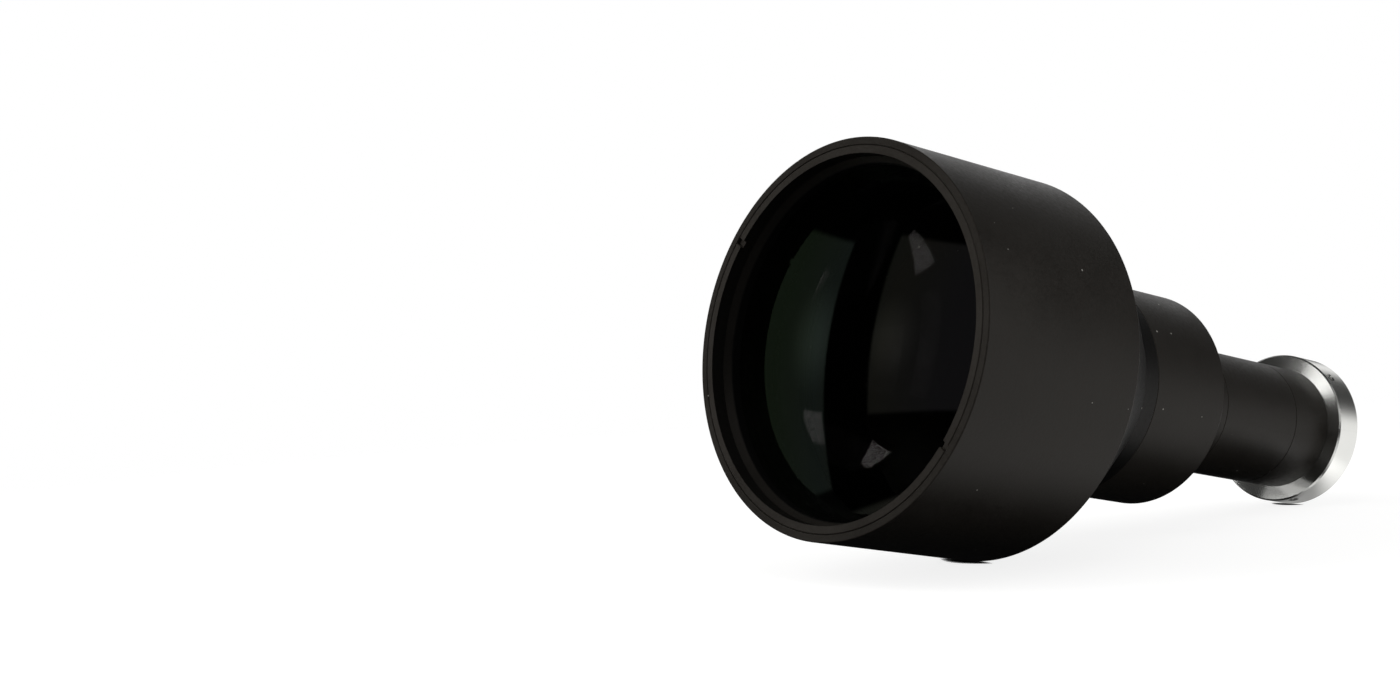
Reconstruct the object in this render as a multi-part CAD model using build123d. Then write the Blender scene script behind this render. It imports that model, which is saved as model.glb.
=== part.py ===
from build123d import *
import os
from math import sqrt

# Telecentric lens: a wide hood with the front glass, two conical steps down to a slim rear
# barrel, and a silver adapter ring that carries a three-lug camera bayonet.
# Millimetres. The optical axis is Y: the front glass faces -Y and the camera is on the +Y side.
# The origin is the centre of the camera flange. Depths are counted from the front rim.
# Angles are counted about the axis from +Z towards +X.

# Lengths along the axis, from the front rim to the camera flange
HOOD_LENGTH = 77.0
HOOD_CONE_LENGTH = 42.0
FRONT_LAND_LENGTH = 7.5
MIDDLE_LAND_LENGTH = 39.5
MIDDLE_CONE_LENGTH = 22.0
NECK_LAND_LENGTH = 3.5
REAR_LAND_LENGTH = 46.0
END_LAND_LENGTH = 22.0
ADAPTER_LENGTH = 13.5

# Radii of the front group and the widths that lie around it
FRONT_CLEAR_RADIUS = 63.7
FRONT_EDGE_WIDTH = 2.5
FRONT_LENS_GAP = 0.3
THREAD_STEP = 2.2
RIM_WIDTH = 2.8
RING_WIDTH = 3.1

# Outer radii of the slimmer barrels and of the adapter ring
MIDDLE_RADIUS = 41.5
REAR_RADIUS = 25.0
ADAPTER_RADIUS = 31.0

# Fits and broken edges
THREAD_GAP = 0.1
SLIDE_GAP = 0.1
FACE_GAP = 0.3
SEAM_CHAMFER = 0.3
RIM_CHAMFER = 0.5
GROOVE_CHAMFER = 0.35

# Front retaining ring, its two spanner slots and the pressure ring below it
RING_THICKNESS = 5.5
SLOT_ANGLES = (-57.5, 122.5)
SLOT_WIDTH = 2.6
SLOT_DEPTH = 1.4
LEDGE_STEP = 0.2
LEDGE_DEPTH = 3.0
PRESSURE_RING_THICKNESS = 6.5

# Front group: curve radii are positive where the centre of the curve lies towards the camera
FRONT_CURVE = 230.0
FRONT_CEMENT_CURVE = -190.0
FRONT_FLINT_CURVE = -620.0
FRONT_CROWN_EDGE = 6.0
FRONT_FLINT_EDGE = 13.0
FRONT_SPACER_LENGTH = 11.0
FRONT_MENISCUS_CURVES = (400.0, 900.0)
FRONT_MENISCUS_EDGE = 6.0
SEAT_WIDTH = 3.0

# Walls and joints of the barrels
HOOD_CONE_WALL = 7.5
MIDDLE_CONE_WALL = 9.4
FRONT_THROAT_WALL = 5.5
MIDDLE_WALL = 7.0
MIDDLE_THROAT_WALL = 4.5
REAR_WALL = 4.9
REAR_ENTRY_WALL = 6.0
MIDDLE_JOINT_WALL = 3.8
MIDDLE_JOINT_LENGTH = 7.5
NECK_JOINT_WALL = 2.8
NECK_JOINT_LENGTH = 6.8
END_JOINT_LENGTH = 10.0
JOINT_RELIEF = 1.0
FRONT_BAFFLE_THICKNESS = 1.5
FRONT_BAFFLE_WIDTH = 7.6
MIDDLE_BAFFLE_THICKNESS = 1.2
MIDDLE_BAFFLE_WIDTH = 8.1

# Rear cell with the aperture stop and the rear group
CELL_START = 5.0
CELL_LENGTH = 55.0
CELL_WALL = 3.9
CELL_POCKET_WALL = 2.9
END_SHOULDER_WIDTH = 2.8
STOP_POCKET_DEPTH = 6.0
STOP_OPENING = 5.5
STOP_THICKNESS = 1.0
STOP_RING_THICKNESS = 3.0
STOP_RING_WIDTH = 4.0
CELL_WEB_THICKNESS = 3.0
CELL_WEB_WIDTH = 3.6
REAR_EDGE_WIDTH = 1.5
REAR_LENS_GAP = 0.1
REAR_MENISCUS_CURVES = (-40.0, -28.0)
REAR_MENISCUS_EDGE = 4.0
REAR_SPACER_1_LENGTH = 8.0
REAR_DOUBLET_CURVES = (45.0, -38.0, -120.0)
REAR_CROWN_EDGE = 3.0
REAR_FLINT_EDGE = 6.0
REAR_SPACER_2_LENGTH = 4.0
REAR_SINGLET_CURVES = (60.0, -80.0)
REAR_SINGLET_EDGE = 3.5
REAR_SPACER_3_LENGTH = 7.5
FIELD_LENS_CURVES = (-50.0, -90.0)
FIELD_LENS_EDGE = 4.0
REAR_RING_THICKNESS = 3.5
REAR_RING_LEAD = 1.6
REAR_SLOT_ANGLES = (90.0, 270.0)
REAR_SLOT_WIDTH = 1.6
REAR_SLOT_DEPTH = 1.2

# Adapter ring and its three radial set screws. The end tube's spigot takes this share of the
# width between the throat and the outside of the ring.
ADAPTER_SPIGOT_SHARE = 0.42
ADAPTER_SPIGOT_LENGTH = 8.0
ADAPTER_FRONT_CHAMFER = 0.6
ADAPTER_REAR_CHAMFER = 0.5
SET_SCREW_ANGLES = (44.0, 164.0, 284.0)
SET_SCREW_DEPTH = 3.6
SET_SCREW_RADIUS = 2.0
SET_SCREW_LENGTH = 6.0
SET_SCREW_CHAMFER = 0.35
SET_SCREW_SOCKET = 2.0
SET_SCREW_SOCKET_DEPTH = 2.0
CLAMP_GROOVE_DEPTH = 1.0
CLAMP_GROOVE_WIDTH = 4.4

# Bayonet plate: flange disc, tube, three lugs, lock notch and its countersunk screws
PLATE_RIM_WIDTH = 2.0
PLATE_THICKNESS = 2.6
PLATE_PROUD = 0.6
FLANGE_WIDTH = 7.1
TUBE_WALL = 2.5
TUBE_LENGTH = 6.5
LUG_HEIGHT = 1.6
LUG_ROOT = 1.5
LUG_START = 3.1
LUG_THICKNESS = 1.6
LUG_SPANS = ((0.0, 62.0), (120.0, 56.0), (240.0, 50.0))
LOCK_NOTCH_ANGLE = 75.0
LOCK_NOTCH_WIDTH = 2.2
LOCK_NOTCH_LENGTH = 3.4
LOCK_NOTCH_DEPTH = 1.6
PLATE_SCREW_COUNT = 4
PLATE_SCREW_INSET = 3.0
PLATE_SCREW_RADIUS = 1.0
PLATE_SCREW_HEAD = 1.9
PLATE_SCREW_LENGTH = 6.0
PLATE_SCREW_TURN = 30.0
PLATE_SCREW_DRIVE = 0.5
PLATE_TAP_SPARE = 0.5

# Length by which a cutting tool runs past the face that it enters
OVERRUN = 2.0

# Stations along the axis that follow from the lengths
HOOD_END = HOOD_LENGTH
HOOD_CONE_END = HOOD_END + HOOD_CONE_LENGTH
FRONT_SEAM = HOOD_CONE_END + FRONT_LAND_LENGTH
MIDDLE_END = FRONT_SEAM + MIDDLE_LAND_LENGTH
MIDDLE_CONE_END = MIDDLE_END + MIDDLE_CONE_LENGTH
NECK_SEAM = MIDDLE_CONE_END + NECK_LAND_LENGTH
REAR_SEAM = NECK_SEAM + REAR_LAND_LENGTH
ADAPTER_FRONT = REAR_SEAM + END_LAND_LENGTH
FLANGE = ADAPTER_FRONT + ADAPTER_LENGTH

# Radii that follow from the front group
FRONT_LENS_RADIUS = FRONT_CLEAR_RADIUS + FRONT_EDGE_WIDTH
LENS_BORE_RADIUS = FRONT_LENS_RADIUS + FRONT_LENS_GAP
THREAD_RADIUS = LENS_BORE_RADIUS + THREAD_STEP
HOOD_RADIUS = THREAD_RADIUS + RIM_WIDTH
SEAT_RADIUS = LENS_BORE_RADIUS - SEAT_WIDTH

# Depths of the front group's faces
CROWN_FRONT = RING_THICKNESS + PRESSURE_RING_THICKNESS
FLINT_FRONT = CROWN_FRONT + FRONT_CROWN_EDGE
SPACER_FRONT = FLINT_FRONT + FRONT_FLINT_EDGE
MENISCUS_FRONT = SPACER_FRONT + FRONT_SPACER_LENGTH
FRONT_SEAT = MENISCUS_FRONT + FRONT_MENISCUS_EDGE

# Joints and bores of the barrels
FRONT_THROAT_RADIUS = MIDDLE_RADIUS - FRONT_THROAT_WALL
MIDDLE_BORE_RADIUS = MIDDLE_RADIUS - MIDDLE_WALL
MIDDLE_THROAT_RADIUS = REAR_RADIUS - MIDDLE_THROAT_WALL
REAR_ENTRY_RADIUS = REAR_RADIUS - REAR_ENTRY_WALL
REAR_BORE_RADIUS = REAR_RADIUS - REAR_WALL
MIDDLE_SPIGOT_RADIUS = MIDDLE_RADIUS - MIDDLE_JOINT_WALL - THREAD_GAP
MIDDLE_SPIGOT_FRONT = FRONT_SEAM - MIDDLE_JOINT_LENGTH
FRONT_BAFFLE_FRONT = MIDDLE_SPIGOT_FRONT - FRONT_BAFFLE_THICKNESS
FRONT_BAFFLE_OPENING = MIDDLE_SPIGOT_RADIUS - FRONT_BAFFLE_WIDTH
NECK_SPIGOT_RADIUS = REAR_RADIUS - NECK_JOINT_WALL - THREAD_GAP
NECK_SPIGOT_FRONT = NECK_SEAM - NECK_JOINT_LENGTH
MIDDLE_BAFFLE_FRONT = NECK_SPIGOT_FRONT - MIDDLE_BAFFLE_THICKNESS
MIDDLE_BAFFLE_OPENING = NECK_SPIGOT_RADIUS - MIDDLE_BAFFLE_WIDTH
END_SPIGOT_FRONT = REAR_SEAM - END_JOINT_LENGTH

# Depths inside the rear cell
CELL_FRONT = NECK_SEAM + CELL_START
CELL_REAR = CELL_FRONT + CELL_LENGTH
STOP_REAR = CELL_FRONT + STOP_POCKET_DEPTH
REAR_MENISCUS_FRONT = STOP_REAR + CELL_WEB_THICKNESS
REAR_SPACER_1_FRONT = REAR_MENISCUS_FRONT + REAR_MENISCUS_EDGE
REAR_CROWN_FRONT = REAR_SPACER_1_FRONT + REAR_SPACER_1_LENGTH
REAR_FLINT_FRONT = REAR_CROWN_FRONT + REAR_CROWN_EDGE
REAR_SPACER_2_FRONT = REAR_FLINT_FRONT + REAR_FLINT_EDGE
REAR_SINGLET_FRONT = REAR_SPACER_2_FRONT + REAR_SPACER_2_LENGTH
REAR_SPACER_3_FRONT = REAR_SINGLET_FRONT + REAR_SINGLET_EDGE
FIELD_LENS_FRONT = REAR_SPACER_3_FRONT + REAR_SPACER_3_LENGTH
REAR_RING_FRONT = FIELD_LENS_FRONT + FIELD_LENS_EDGE

# Radii inside the rear cell, from the barrel's bore inwards
CELL_RADIUS = REAR_BORE_RADIUS - SLIDE_GAP
CELL_BORE_RADIUS = CELL_RADIUS - CELL_WALL
CELL_POCKET_RADIUS = CELL_RADIUS - CELL_POCKET_WALL
CELL_WEB_OPENING = CELL_BORE_RADIUS - CELL_WEB_WIDTH
STOP_RADIUS = CELL_POCKET_RADIUS - SLIDE_GAP
STOP_RING_OPENING = STOP_RADIUS - STOP_RING_WIDTH
REAR_LENS_RADIUS = CELL_BORE_RADIUS - REAR_LENS_GAP
REAR_CLEAR_RADIUS = REAR_LENS_RADIUS - REAR_EDGE_WIDTH
END_THROAT_RADIUS = CELL_RADIUS - END_SHOULDER_WIDTH

# Radii of the adapter and its bayonet
ADAPTER_WIDTH = ADAPTER_RADIUS - END_THROAT_RADIUS
ADAPTER_SPIGOT_RADIUS = END_THROAT_RADIUS + ADAPTER_SPIGOT_SHARE * ADAPTER_WIDTH
PLATE_RADIUS = ADAPTER_RADIUS - PLATE_RIM_WIDTH
PLATE_SCREW_CIRCLE = PLATE_RADIUS - PLATE_SCREW_INSET
TUBE_RADIUS = PLATE_RADIUS - FLANGE_WIDTH
TUBE_BORE_RADIUS = TUBE_RADIUS - TUBE_WALL
LUG_RADIUS = TUBE_RADIUS + LUG_HEIGHT

# Depths of the adapter
SET_SCREW_STATION = ADAPTER_FRONT + SET_SCREW_DEPTH
ADAPTER_REAR = FLANGE - PLATE_PROUD
PLATE_SEAT = FLANGE - PLATE_THICKNESS


def at(radius, depth):
    """Point of a half profile: its radius, and its place on the axis in the row's own frame."""
    return (radius, depth - FLANGE)


def turned(*points):
    """Solid turned about the optical axis from a closed half profile of (radius, depth) points."""
    outline = Polyline([at(radius, depth) for radius, depth in points], close=True)
    return revolve(make_face(outline), axis=Axis.Y)


def ring(outer, inner, front, rear):
    """Plain ring with square edges."""
    return turned((inner, front), (outer, front), (outer, rear), (inner, rear))


def radial(angle, depth, radius):
    """Place on the part whose own Z points straight out from the axis."""
    return Rot(0, angle, 0) * Pos(0, depth - FLANGE, radius)


def fall(curve, radius):
    """Depth by which a spherical surface has fallen back from its vertex at a radius."""
    return curve - (1 if curve > 0 else -1) * sqrt(curve * curve - radius * radius)


def glass(clear, edge, front, thickness, front_curve, rear_curve):
    """Lens with spherical faces inside the clear radius and a flat land around each of them."""
    rear = front + thickness

    def face_point(land, curve, radius):
        return at(radius, land - fall(curve, clear) + fall(curve, radius))

    with BuildPart() as lens:
        with BuildSketch():
            with BuildLine():
                ThreePointArc(
                    face_point(front, front_curve, 0),
                    face_point(front, front_curve, clear / 2),
                    face_point(front, front_curve, clear),
                )
                Polyline(at(clear, front), at(edge, front), at(edge, rear), at(clear, rear))
                ThreePointArc(
                    face_point(rear, rear_curve, clear),
                    face_point(rear, rear_curve, clear / 2),
                    face_point(rear, rear_curve, 0),
                )
                Line(face_point(rear, rear_curve, 0), face_point(front, front_curve, 0))
            make_face()
        revolve(axis=Axis.Y)
    return lens.part


def cone_depth(start, length, start_radius, end_radius, wall, radius):
    """Depth at which the inside of a conical wall of a given radial thickness has a radius."""
    slope = (start_radius - end_radius) / length
    return start + (start_radius - wall - radius) / slope


def spanner_slots(angles, inner, outer, face, depth, width, towards_rear):
    """Radial slots across a ring's face, for a spanner wrench, as one cutting tool."""
    tool = Box(width, depth, outer - inner + 2 * OVERRUN)
    middle = face + (depth / 2 if towards_rear else -depth / 2)
    return Part() + [radial(angle, middle, (inner + outer) / 2) * tool for angle in angles]


def front_barrel():
    """Hood, cone and short land in one turned piece, bored for the front group."""
    cone = (HOOD_END, HOOD_CONE_LENGTH, HOOD_RADIUS, MIDDLE_RADIUS, HOOD_CONE_WALL)
    counterbore = CROWN_FRONT + FACE_GAP
    socket = MIDDLE_SPIGOT_RADIUS + THREAD_GAP
    return turned(
        (THREAD_RADIUS + GROOVE_CHAMFER, 0),
        (HOOD_RADIUS - RIM_CHAMFER, 0),
        (HOOD_RADIUS, RIM_CHAMFER),
        (HOOD_RADIUS, HOOD_END),
        (MIDDLE_RADIUS, HOOD_CONE_END),
        (MIDDLE_RADIUS, FRONT_SEAM - SEAM_CHAMFER),
        (MIDDLE_RADIUS - SEAM_CHAMFER, FRONT_SEAM),
        (socket, FRONT_SEAM),
        (socket, FRONT_BAFFLE_FRONT),
        (FRONT_THROAT_RADIUS, FRONT_BAFFLE_FRONT),
        (FRONT_THROAT_RADIUS, cone_depth(*cone, FRONT_THROAT_RADIUS)),
        (SEAT_RADIUS, cone_depth(*cone, SEAT_RADIUS)),
        (SEAT_RADIUS, FRONT_SEAT),
        (LENS_BORE_RADIUS, FRONT_SEAT),
        (LENS_BORE_RADIUS, counterbore),
        (THREAD_RADIUS, counterbore),
        (THREAD_RADIUS, GROOVE_CHAMFER),
    )


def front_retaining_ring():
    """Flush threaded ring with two opposed spanner slots in its face."""
    outer = THREAD_RADIUS - THREAD_GAP
    inner = THREAD_RADIUS - RING_WIDTH
    body = turned(
        (inner, 0),
        (outer - GROOVE_CHAMFER, 0),
        (outer, GROOVE_CHAMFER),
        (outer, RING_THICKNESS),
        (inner, RING_THICKNESS),
    )
    return body - spanner_slots(SLOT_ANGLES, inner, outer, 0, SLOT_DEPTH, SLOT_WIDTH, True)


def front_pressure_ring():
    """Ring between the retaining ring and the glass, with a conical ledge on its inside."""
    outer = THREAD_RADIUS - SLIDE_GAP
    ledge = THREAD_RADIUS - RING_WIDTH + LEDGE_STEP
    return turned(
        (ledge, RING_THICKNESS),
        (outer, RING_THICKNESS),
        (outer, CROWN_FRONT),
        (FRONT_CLEAR_RADIUS, CROWN_FRONT),
        (FRONT_CLEAR_RADIUS, RING_THICKNESS + LEDGE_DEPTH),
    )


def front_glass(front, thickness, front_curve, rear_curve):
    """Element of the front group, in its common diameter."""
    return glass(FRONT_CLEAR_RADIUS, FRONT_LENS_RADIUS, front, thickness, front_curve, rear_curve)


def rear_glass(front, thickness, front_curve, rear_curve):
    """Element of the rear group, in its common diameter."""
    return glass(REAR_CLEAR_RADIUS, REAR_LENS_RADIUS, front, thickness, front_curve, rear_curve)


def middle_barrel():
    """Middle barrel: a spigot that enters the front barrel, a long land and a cone."""
    cone = (MIDDLE_END, MIDDLE_CONE_LENGTH, MIDDLE_RADIUS, REAR_RADIUS, MIDDLE_CONE_WALL)
    socket = NECK_SPIGOT_RADIUS + THREAD_GAP
    return turned(
        (MIDDLE_BORE_RADIUS, MIDDLE_SPIGOT_FRONT),
        (MIDDLE_SPIGOT_RADIUS, MIDDLE_SPIGOT_FRONT),
        (MIDDLE_SPIGOT_RADIUS, FRONT_SEAM),
        (MIDDLE_RADIUS - SEAM_CHAMFER, FRONT_SEAM),
        (MIDDLE_RADIUS, FRONT_SEAM + SEAM_CHAMFER),
        (MIDDLE_RADIUS, MIDDLE_END),
        (REAR_RADIUS, MIDDLE_CONE_END),
        (REAR_RADIUS, NECK_SEAM - SEAM_CHAMFER),
        (REAR_RADIUS - SEAM_CHAMFER, NECK_SEAM),
        (socket, NECK_SEAM),
        (socket, MIDDLE_BAFFLE_FRONT),
        (MIDDLE_THROAT_RADIUS, MIDDLE_BAFFLE_FRONT),
        (MIDDLE_THROAT_RADIUS, cone_depth(*cone, MIDDLE_THROAT_RADIUS)),
        (MIDDLE_BORE_RADIUS, cone_depth(*cone, MIDDLE_BORE_RADIUS)),
    )


def rear_barrel():
    """Slim barrel that holds the front of the rear cell against a shoulder."""
    socket = NECK_SPIGOT_RADIUS + THREAD_GAP
    return turned(
        (REAR_ENTRY_RADIUS, NECK_SPIGOT_FRONT),
        (NECK_SPIGOT_RADIUS, NECK_SPIGOT_FRONT),
        (NECK_SPIGOT_RADIUS, NECK_SEAM),
        (REAR_RADIUS - SEAM_CHAMFER, NECK_SEAM),
        (REAR_RADIUS, NECK_SEAM + SEAM_CHAMFER),
        (REAR_RADIUS, REAR_SEAM - SEAM_CHAMFER),
        (REAR_RADIUS - SEAM_CHAMFER, REAR_SEAM),
        (socket, REAR_SEAM),
        (socket, END_SPIGOT_FRONT - JOINT_RELIEF),
        (REAR_BORE_RADIUS, END_SPIGOT_FRONT - JOINT_RELIEF),
        (REAR_BORE_RADIUS, CELL_FRONT),
        (REAR_ENTRY_RADIUS, CELL_FRONT),
    )


def end_tube():
    """End of the barrel: it closes on the rear cell and carries the adapter ring."""
    rear = ADAPTER_FRONT + ADAPTER_SPIGOT_LENGTH
    groove_front = SET_SCREW_STATION - CLAMP_GROOVE_WIDTH / 2
    groove_rear = SET_SCREW_STATION + CLAMP_GROOVE_WIDTH / 2
    groove_floor = ADAPTER_SPIGOT_RADIUS - CLAMP_GROOVE_DEPTH
    return turned(
        (REAR_BORE_RADIUS, END_SPIGOT_FRONT),
        (NECK_SPIGOT_RADIUS, END_SPIGOT_FRONT),
        (NECK_SPIGOT_RADIUS, REAR_SEAM),
        (REAR_RADIUS - SEAM_CHAMFER, REAR_SEAM),
        (REAR_RADIUS, REAR_SEAM + SEAM_CHAMFER),
        (REAR_RADIUS, ADAPTER_FRONT),
        (ADAPTER_SPIGOT_RADIUS, ADAPTER_FRONT),
        (ADAPTER_SPIGOT_RADIUS, groove_front),
        (groove_floor, groove_front),
        (groove_floor, groove_rear),
        (ADAPTER_SPIGOT_RADIUS, groove_rear),
        (ADAPTER_SPIGOT_RADIUS, rear),
        (END_THROAT_RADIUS, rear),
        (END_THROAT_RADIUS, CELL_REAR),
        (REAR_BORE_RADIUS, CELL_REAR),
    )


def lens_cell():
    """Inner tube with a pocket for the stop in front and the rear group's bore behind."""
    return turned(
        (CELL_POCKET_RADIUS, CELL_FRONT),
        (CELL_RADIUS, CELL_FRONT),
        (CELL_RADIUS, CELL_REAR),
        (CELL_BORE_RADIUS, CELL_REAR),
        (CELL_BORE_RADIUS, REAR_MENISCUS_FRONT),
        (CELL_WEB_OPENING, REAR_MENISCUS_FRONT),
        (CELL_WEB_OPENING, STOP_REAR),
        (CELL_POCKET_RADIUS, STOP_REAR),
    )


def aperture_stop():
    """Thin disc whose opening has a sharp bevelled edge."""
    front = STOP_REAR - STOP_THICKNESS
    return turned(
        (STOP_OPENING + STOP_THICKNESS, front),
        (STOP_RADIUS, front),
        (STOP_RADIUS, STOP_REAR),
        (STOP_OPENING, STOP_REAR),
    )


def stop_retaining_ring():
    """Threaded ring that holds the stop on the web of the cell."""
    rear = STOP_REAR - STOP_THICKNESS
    return ring(STOP_RADIUS, STOP_RING_OPENING, rear - STOP_RING_THICKNESS, rear)


def rear_spacer(front, length):
    """Ring that keeps two elements of the rear group apart."""
    return ring(REAR_LENS_RADIUS, REAR_CLEAR_RADIUS, front, front + length)


def rear_retaining_ring():
    """Threaded ring behind the rear group, with a bevelled mouth and two spanner slots."""
    rear = REAR_RING_FRONT + REAR_RING_THICKNESS
    body = turned(
        (REAR_CLEAR_RADIUS, REAR_RING_FRONT),
        (REAR_LENS_RADIUS, REAR_RING_FRONT),
        (REAR_LENS_RADIUS, rear),
        (REAR_CLEAR_RADIUS + REAR_RING_LEAD / 2, rear),
        (REAR_CLEAR_RADIUS, rear - REAR_RING_LEAD),
    )
    return body - spanner_slots(
        REAR_SLOT_ANGLES,
        REAR_CLEAR_RADIUS,
        REAR_LENS_RADIUS,
        rear,
        REAR_SLOT_DEPTH,
        REAR_SLOT_WIDTH,
        False,
    )


def set_screw_holes():
    """Radial holes through the adapter ring with a countersink at the mouth."""
    bottom = ADAPTER_SPIGOT_RADIUS - CLAMP_GROOVE_DEPTH
    depth = ADAPTER_RADIUS - bottom + OVERRUN
    hole = Cylinder(SET_SCREW_RADIUS, depth)
    widening = 2 * SET_SCREW_CHAMFER
    mouth = Cone(SET_SCREW_RADIUS, SET_SCREW_RADIUS + widening, widening)
    tools = []
    for angle in SET_SCREW_ANGLES:
        tools.append(radial(angle, SET_SCREW_STATION, bottom + depth / 2) * hole)
        tools.append(radial(angle, SET_SCREW_STATION, ADAPTER_RADIUS - SET_SCREW_CHAMFER / 2) * mouth)
    return Part() + tools


def plate_screw_places():
    """Places of the countersunk screws on the flange, whose own Z points along the axis."""
    step = 360 / PLATE_SCREW_COUNT
    return [
        Rot(0, PLATE_SCREW_TURN + turn * step, 0) * Pos(0, 0, PLATE_SCREW_CIRCLE) * Rot(-90, 0, 0)
        for turn in range(PLATE_SCREW_COUNT)
    ]


def adapter_ring():
    """Silver ring, clamped on the end tube by set screws, with a seat for the bayonet plate."""
    bore = ADAPTER_SPIGOT_RADIUS + SLIDE_GAP
    seat = PLATE_RADIUS + SLIDE_GAP
    body = turned(
        (bore, ADAPTER_FRONT),
        (ADAPTER_RADIUS - ADAPTER_FRONT_CHAMFER, ADAPTER_FRONT),
        (ADAPTER_RADIUS, ADAPTER_FRONT + ADAPTER_FRONT_CHAMFER),
        (ADAPTER_RADIUS, ADAPTER_REAR - ADAPTER_REAR_CHAMFER),
        (ADAPTER_RADIUS - ADAPTER_REAR_CHAMFER, ADAPTER_REAR),
        (seat, ADAPTER_REAR),
        (seat, PLATE_SEAT),
        (bore, PLATE_SEAT),
    )
    reach = PLATE_SCREW_LENGTH + PLATE_TAP_SPARE
    tap = Pos(0, 0, -reach / 2) * Cylinder(PLATE_SCREW_RADIUS, reach)
    taps = Part() + [place * tap for place in plate_screw_places()]
    return body - set_screw_holes() - taps


def set_screws():
    """Three set screws with a hexagon socket, screwed in until they reach the clamp groove."""
    foot = ADAPTER_SPIGOT_RADIUS - CLAMP_GROOVE_DEPTH + THREAD_GAP
    shank = Cylinder(SET_SCREW_RADIUS - THREAD_GAP / 2, SET_SCREW_LENGTH)
    top = SET_SCREW_LENGTH / 2
    hexagon = RegularPolygon(SET_SCREW_SOCKET / 2, 6, major_radius=False)
    socket = extrude(Pos(0, 0, top - SET_SCREW_SOCKET_DEPTH) * hexagon, SET_SCREW_SOCKET_DEPTH)
    screw = chamfer(shank.edges(), SET_SCREW_CHAMFER) - socket
    return Compound(
        [radial(angle, SET_SCREW_STATION, foot + top) * screw for angle in SET_SCREW_ANGLES]
    )


def bayonet_lug(angle, span):
    """Sector of a thin ring that stands out from the bayonet tube."""
    front = FLANGE + LUG_START
    rear = front + LUG_THICKNESS
    root = TUBE_RADIUS - LUG_ROOT
    corners = [at(root, front), at(LUG_RADIUS, front), at(LUG_RADIUS, rear), at(root, rear)]
    sector = make_face(Polyline(corners, close=True))
    return Rot(0, angle + span / 2, 0) * revolve(sector, axis=Axis.Y, revolution_arc=span)


def bayonet_plate():
    """Flange disc with the bayonet tube, three lugs, a lock notch and countersunk holes."""
    body = turned(
        (TUBE_BORE_RADIUS, PLATE_SEAT),
        (PLATE_RADIUS, PLATE_SEAT),
        (PLATE_RADIUS, FLANGE - SEAM_CHAMFER),
        (PLATE_RADIUS - SEAM_CHAMFER, FLANGE),
        (TUBE_RADIUS, FLANGE),
        (TUBE_RADIUS, FLANGE + TUBE_LENGTH - SEAM_CHAMFER),
        (TUBE_RADIUS - SEAM_CHAMFER, FLANGE + TUBE_LENGTH),
        (TUBE_BORE_RADIUS, FLANGE + TUBE_LENGTH),
    )
    body += [bayonet_lug(angle, span) for angle, span in LUG_SPANS]
    notch_middle = PLATE_RADIUS - LOCK_NOTCH_LENGTH / 2
    notch = radial(LOCK_NOTCH_ANGLE, FLANGE - LOCK_NOTCH_DEPTH / 2, notch_middle) * Box(
        LOCK_NOTCH_WIDTH, LOCK_NOTCH_DEPTH, LOCK_NOTCH_LENGTH + SLIDE_GAP
    )
    head = PLATE_SCREW_HEAD - PLATE_SCREW_RADIUS
    hole = Pos(0, 0, -PLATE_THICKNESS / 2) * Cylinder(PLATE_SCREW_RADIUS, PLATE_THICKNESS)
    sink = Pos(0, 0, -head / 2) * Cone(PLATE_SCREW_RADIUS, PLATE_SCREW_HEAD, head)
    places = plate_screw_places()
    holes = Part() + [place * hole for place in places] + [place * sink for place in places]
    return body - notch - holes


def plate_screws():
    """Four countersunk screws with a cross recess, flush with the flange."""
    head = PLATE_SCREW_HEAD - PLATE_SCREW_RADIUS
    gap = THREAD_GAP / 2
    profile = Polyline(
        (0, -PLATE_SCREW_LENGTH),
        (PLATE_SCREW_RADIUS - gap, -PLATE_SCREW_LENGTH),
        (PLATE_SCREW_RADIUS - gap, -head),
        (PLATE_SCREW_HEAD - gap, 0),
        (0, 0),
        close=True,
    )
    body = revolve(make_face(Plane.XZ * profile), axis=Axis.Z)
    arm = 2 * PLATE_SCREW_RADIUS
    cross = Box(arm, PLATE_SCREW_DRIVE, head) + Box(PLATE_SCREW_DRIVE, arm, head)
    return Compound([place * (body - cross) for place in plate_screw_places()])


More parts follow.
